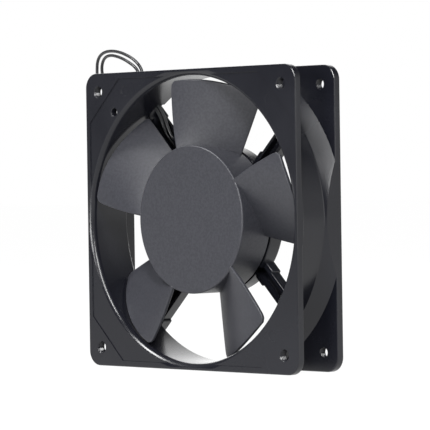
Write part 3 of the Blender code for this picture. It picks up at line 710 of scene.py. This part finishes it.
def face_step():
    half = HALF - BORDER
    tool = slab((-half, -half, FACE - STEP), (half, half, FACE + 1), 2 * half - DIAGONAL, 0, 1)
    rims = edges_where(tool, lambda a, b: a.z < FACE and b.z < FACE)
    round_edges(tool, rims, 0.12, 2)
    return tool


def screw_hole(x, y):
    """A hole with a broken edge at each face and shallow thread grooves between."""
    mouth = HOLE_R + HOLE_BREAK
    profile = [(0, FACE + 1), (mouth, FACE + 1), (mouth, FACE - 0.02), (HOLE_R, FACE - 0.4)]
    for face in (FACE, -FACE + FLANGE):
        for groove in range(GROOVES):
            top = face - 0.55 - THREAD_PITCH * groove
            profile += [(HOLE_R - 0.02, top), (HOLE_R + THREAD_DEPTH, top - 0.3), (HOLE_R - 0.02, top - 0.6)]
    profile += [(HOLE_R, -FACE + 0.4), (mouth, -FACE + 0.02), (mouth, -FACE - 1), (0, -FACE - 1)]
    return move(turning(profile, 40), x, y, 0)


corners = [(x, y) for x in (-HOLE_AT, HOLE_AT) for y in (-HOLE_AT, HOLE_AT)]
casting = carve(casting, "DIFFERENCE", face_step(), *[screw_hole(x, y) for x, y in corners])
sunk = FACE - STEP
drill = [(0, 20), (1.9, 20), (1.9, sunk), (EARTH_R, sunk - 0.25), (EARTH_R, 0), (0, 0)]
earth = move(turning(drill, 32), *EARTH_AT, 0)
marks = []
for x, y in MARKS_AT:
    dimple = [(0, 20), (MARK_R, 20), (MARK_R, sunk), (2.05, sunk - MARK_DEPTH), (0, sunk - MARK_DEPTH)]
    marks.append(move(turning(dimple, 32), x, y, 0))
rib_notch = turn_about_z(slab((43.5, -3.6, STRUT_FLOOR), (57.0, 0, 0), 0.4, 0, 2), 135)
tube_notch = slab((-40.2, 39.0, -9.3), (-33.2, 52.0, -3.0), 0, 0)
casting = carve(casting, "DIFFERENCE", earth, *marks, rib_notch, tube_notch)
bmesh.ops.remove_doubles(casting, verts=casting.verts, dist=1e-4)
piece("fan_casting", casting, paint, "housing", ["frame"], crease=28)

# %% [markdown]
# ## The impeller
# One moulding: a plain cup for a hub, with five broad blades that are swept and twisted to push air
# backwards. A blade is a fine grid bent to its mid-surface, given its thickness, and rounded along its free
# edges. Spinning makes five of it, and one Boolean melts the blades into the hub wall.
#
# An edge of a blade stands at an angle round the axis. That angle changes by a sweep from root to tip, and
# is pulled in further where the corner at the tip is rounded. The surface falls from its front height to
# the trailing edge, and its bow says how much of the fall comes late.

# %% Impeller
BLADES, HUB_R, TIP_R = 5, 29.6, 56.0
HUB_FRONT, HUB_BACK, HUB_WALL, HUB_FACE = 11.6, -4.0, 1.4, 1.6
ROOT_DEPTH, TIP_CORNER_R = 0.8, 3.0
LEAD_ANGLE, LEAD_SWEEP, LEAD_PULL = 33.5, 5.2, 1.8
TRAIL_ANGLE, TRAIL_SWEEP, TRAIL_PULL = -12.0, 0.8, 1.0
FRONT_HEIGHT, FRONT_TAPER = 10.6, 0.5
FALL, FALL_TAPER = 13.9, 0.9
BOW, BOW_GAIN = 0.30, 0.88
ROW_CROWDING = 0.03


def blade_place(span, chord):
    """Mid-surface: span runs from the hub wall to the tip, chord from the leading to the trailing edge."""
    radius = HUB_R - ROOT_DEPTH + (TIP_R - HUB_R + ROOT_DEPTH) * span
    corner = max(0.0, (radius - (TIP_R - TIP_CORNER_R)) / TIP_CORNER_R)
    pulled = 1 - math.sqrt(1 - min(1.0, corner * corner))
    lead = LEAD_ANGLE - LEAD_SWEEP * span - LEAD_PULL * pulled
    trail = TRAIL_ANGLE + TRAIL_SWEEP * span + TRAIL_PULL * pulled
    bow = BOW + BOW_GAIN * span
    fall = (FALL - FALL_TAPER * span) * ((1 - bow) * chord + bow * chord * chord)
    angle = math.radians(lead + (trail - lead) * chord)
    height = FRONT_HEIGHT - FRONT_TAPER * span - fall
    return Vector((radius * math.cos(angle), radius * math.sin(angle), height))


def blades(thickness=1.5, edge=0.45):
    bm = bmesh.new()
    bmesh.ops.create_grid(bm, x_segments=26, y_segments=36, size=0.5)
    for vert in bm.verts:
        span, chord = vert.co.x + 0.5, vert.co.y + 0.5
        # Rows stand closer together near the root and the tip.
        span -= ROW_CROWDING * math.sin(2 * math.pi * span)
        vert.co = blade_place(min(1.0, max(0.0, span)), chord)
    bmesh.ops.recalc_face_normals(bm, faces=bm.faces)
    shell = bm.faces[:]
    bmesh.ops.solidify(bm, geom=shell, thickness=thickness)
    bmesh.ops.recalc_face_normals(bm, faces=bm.faces)
    sharp = [e for e in bm.edges if len(e.link_faces) == 2 and e.calc_face_angle(0) > math.radians(50)]
    round_edges(bm, sharp, edge, 3)
    parts = bm.verts[:] + bm.edges[:] + bm.faces[:]
    bmesh.ops.spin(
        bm, geom=parts, cent=(0, 0, 0), axis=(0, 0, 1), angle=math.tau * (BLADES - 1) / BLADES,
        steps=BLADES - 1, use_duplicate=True)
    bmesh.ops.recalc_face_normals(bm, faces=bm.faces)
    return bm


def hub():
    under, inner = HUB_FRONT - HUB_FACE, HUB_R - HUB_WALL
    profile = [(0, HUB_FRONT)] + fillet(HUB_R - 0.7, HUB_FRONT - 0.7, 0.7, 90, 0, 6)
    profile += [(HUB_R, HUB_BACK + 0.25), (HUB_R - 0.25, HUB_BACK)]
    profile += [(inner + 0.2, HUB_BACK), (inner, HUB_BACK + 0.2)]
    profile += [(inner, under), (6.3, under), (6.3, 8.4), (4.3, 8.4), (4.3, under), (0, under)]
    return turning(profile, 160)


impeller = carve(hub(), "UNION", blades())
bmesh.ops.remove_doubles(impeller, verts=impeller.verts, dist=1e-4)
piece("impeller_moulding", impeller, plastic, "rotor", ["impeller"], crease=30)

# %% [markdown]
# ## Clip, label and the wires inside
# A black nylon clip grips both leads between the flanges, with a short finger standing up beside them. The
# back of the motor carries a blank round label. Two insulated wires run from the motor along one strut.

# %% Clip, label and inner wires
CLIP_X, CLIP_LOW, CLIP_HIGH = -40.8, 53.0, 59.6
CLIP_HALF = FACE - FLANGE - 0.3
LEAD_XS = (-39.7, -41.9)


def wire_clip():
    block = slab((CLIP_X - 4.4, CLIP_LOW, -CLIP_HALF), (CLIP_X + 4.4, CLIP_HIGH, CLIP_HALF), 0.5, 0.4)
    finger = slab((CLIP_X + 2.6, CLIP_LOW + 1, -0.8), (CLIP_X + 3.9, 62.6, 0.8), 0.3, 0.35)
    block = carve(block, "UNION", finger)
    tools = []
    for x in LEAD_XS:
        hole = turning([(0, 6), (1.15, 6), (1.15, 3.3), (0.85, 3.0), (0.85, -6), (0, -6)], 32)
        upright = Matrix.Rotation(-math.pi / 2, 3, "X")
        bmesh.ops.rotate(hole, cent=(0, 0, 0), matrix=upright, verts=hole.verts)
        tools.append(move(hole, x, (CLIP_LOW + CLIP_HIGH) / 2, -0.4))
    for near, far in ((3.2, CLIP_HALF - 2.2), (2.2 - CLIP_HALF, -3.2)):
        tools.append(slab((CLIP_X - 5, CLIP_LOW + 2.2, near), (CLIP_X + 5, CLIP_HIGH - 2.2, far), 0, 0.3))
    return carve(block, "DIFFERENCE", *tools)


piece("lead_clip", wire_clip(), nylon, "housing", ["wire_clip"])

LABEL_R, LABEL_THICKNESS = 23.9, 0.25
label_back = BASE_BACK + 0.05
edge = [(0, label_back + LABEL_THICKNESS), (LABEL_R, label_back + LABEL_THICKNESS)]
edge += [(LABEL_R, label_back + 0.06), (23.84, label_back)]
pressed_ring = [(23.0, label_back), (22.9, label_back + 0.03), (22.6, label_back + 0.03), (22.5, label_back)]
label = turning(edge + pressed_ring + [(0, label_back)], 160)
piece("rear_disc", label, film, "housing", ["rear_label"])

INNER_ROUTES = {
    "inner_lead_a": [
        (-17.2, 19.5, -7.2), (-18.9, 20.5, -7.6), (-21.8, 23.2, -9.0), (-26.4, 27.5, -9.8),
        (-30.4, 31.6, -9.8), (-32.4, 34.2, -9.5), (-33.7, 38.0, -8.6), (-34.6, 42.5, -7.4),
        (-35.8, 46.8, -5.4), (-37.8, 50.0, -2.6), (-39.3, 52.0, -0.9), (-39.7, 54.0, -0.4),
        (-39.7, 57.0, -0.4), (-39.7, 59.6, -0.4),
    ],
    "inner_lead_b": [
        (-19.5, 17.2, -7.2), (-20.5, 18.9, -7.6), (-23.2, 21.8, -9.0), (-27.5, 26.4, -9.8),
        (-32.0, 31.0, -9.8), (-34.4, 33.8, -9.5), (-35.9, 37.8, -8.6), (-36.9, 42.2, -7.4),
        (-38.1, 46.2, -5.4), (-40.2, 49.8, -2.6), (-41.6, 52.0, -0.9), (-41.9, 54.0, -0.4),
        (-41.9, 57.0, -0.4), (-41.9, 59.6, -0.4),
    ],
}
for name, route in INNER_ROUTES.items():
    points = [tuple(STAND @ Vector(p) / MM) for p in route]
    inner = wire(f"{name}_wire", points, LEAD_R, sheath, 0.7)
    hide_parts(name)

# %% [markdown]
# ## Parts inside the motor
# These keep their engineering shapes, which are already right, and take the finishes made for them.

# %% Finishes for the carried-over parts
BEARING_PARTS = [
    f"{end}_bearing_{part}" for end in ("front", "rear") for part in ("inner_ring", "outer_ring", "balls")
]
INSIDE = {
    stack: ["stator_core", "rotor_core"],
    cast: ["rotor_cage"],
    brass: ["bearing_tube", "shaft_boss"],
    natural: ["front_insulator", "rear_insulator", "thrust_washer"],
    sleeving: ["splice_sleeve_a", "splice_sleeve_b"],
    copper: [f"shading_ring_{k}" for k in range(1, 5)],
    copper_across: ["coil_1", "coil_3"],
    copper_up: ["coil_2", "coil_4"],
    steel: ["shaft", "retaining_ring", "preload_spring", "bearing_spacer", *BEARING_PARTS],
}
for finish, names in INSIDE.items():
    for name in names:
        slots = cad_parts[name].data.materials
        slots.clear()
        slots.append(finish.material)
print("carried-over parts:", sum(len(names) for names in INSIDE.values()))

# %% [markdown]
# ## Floor and light
# The fan stands on a plain white table against plain white. The table gives off its own even white and
# reflects almost nothing, so it takes no shadow. Dark paint shows mostly what it reflects, so the sky that
# the fan sees is graded: brighter behind it than in front, and darker higher up. A long strip and four
# soft panels add the highlights.

# %% Floor
ground = bmesh.new()
bmesh.ops.create_grid(ground, x_segments=1, y_segments=1, size=6.0)
floor_mesh = bpy.data.meshes.new("floor")
ground.to_mesh(floor_mesh)
ground.free()
floor = bpy.data.objects.new("floor", floor_mesh)
bpy.context.scene.collection.objects.link(floor)
white = Finish("white_table", Base_Color=(0.04, 0.04, 0.04, 1), Roughness=0.9, Specular_IOR_Level=0.0,
               Emission_Color=(1, 1, 1, 1), Emission_Strength=0.99)
floor_mesh.materials.append(white.material)

# %% Soft panels


def panel(name, place, width, height, power, turned=0):
    """A soft rectangle facing the fan from `place`, in metres from its centre, `turned` in its own plane."""
    light = bpy.data.lights.new(name, "AREA")
    light.shape, light.size, light.size_y, light.energy = "RECTANGLE", width, height, power
    made = bpy.data.objects.new(name, light)
    bpy.context.scene.collection.objects.link(made)
    made.location = centre + Vector(place)
    facing = (-Vector(place)).to_track_quat("-Z", "Y").to_matrix()
    made.rotation_euler = (facing @ Matrix.Rotation(math.radians(turned), 3, "Z")).to_euler()
    return made


panel("key_strip", (0.62, -0.62, 0.68), 0.95, 0.17, 17, 115)
panel("left_panel", (-0.38, -0.52, 0.88), 0.36, 0.32, 12)
panel("front_panel", (0.27, -1.10, 0.12), 0.3, 0.3, 7)
panel("right_panel", (1.1, 0.5, 0.35), 0.5, 0.9, 2.6)
panel("back_panel", (-0.75, 0.95, 0.45), 1.0, 0.9, 5)

# %% Sky: plain white for the camera, graded for the fan
world = bpy.data.worlds.new("studio")
bpy.context.scene.world = world
world.use_nodes = True
sky = world.node_tree
sky.nodes.clear()


def sky_node(kind, **sockets):
    node = sky.nodes.new(kind)
    for key, value in sockets.items():
        if isinstance(value, bpy.types.NodeSocket):
            sky.links.new(value, node.inputs[key])
        else:
            node.inputs[key].default_value = value
    return node


def ramp(value, across, strengths):
    """Strength that runs from the first to the last of `strengths` as the value runs `across` its range."""
    node = sky_node("ShaderNodeMapRange", Value=value)
    for entry, number in zip(("From Min", "From Max", "To Min", "To Max"), (*across, *strengths)):
        node.inputs[entry].default_value = number
    return node.outputs["Result"]


rays = sky_node("ShaderNodeLightPath")
aim = sky_node("ShaderNodeTexCoord")
split = sky_node("ShaderNodeSeparateXYZ", Vector=aim.outputs["Generated"])
brighter_behind = ramp(split.outputs["Y"], (-0.6, 0.7), (0.03, 0.80))
darker_above = ramp(split.outputs["Z"], (0.20, 0.60), (1.0, 0.12))
level = sky.nodes.new("ShaderNodeMath")
level.operation = "MULTIPLY"
sky.links.new(brighter_behind, level.inputs[0])
sky.links.new(darker_above, level.inputs[1])
field = sky_node("ShaderNodeBackground", Strength=level.outputs[0])
plain = sky_node("ShaderNodeBackground", Color=(1, 1, 1, 1), Strength=1.0)
both = sky.nodes.new("ShaderNodeMixShader")
sky.links.new(rays.outputs["Is Camera Ray"], both.inputs[0])
sky.links.new(field.outputs[0], both.inputs[1])
sky.links.new(plain.outputs[0], both.inputs[2])
out = sky.nodes.new("ShaderNodeOutputWorld")
sky.links.new(both.outputs[0], out.inputs["Surface"])
bpy.context.scene.view_settings.view_transform = "Standard"
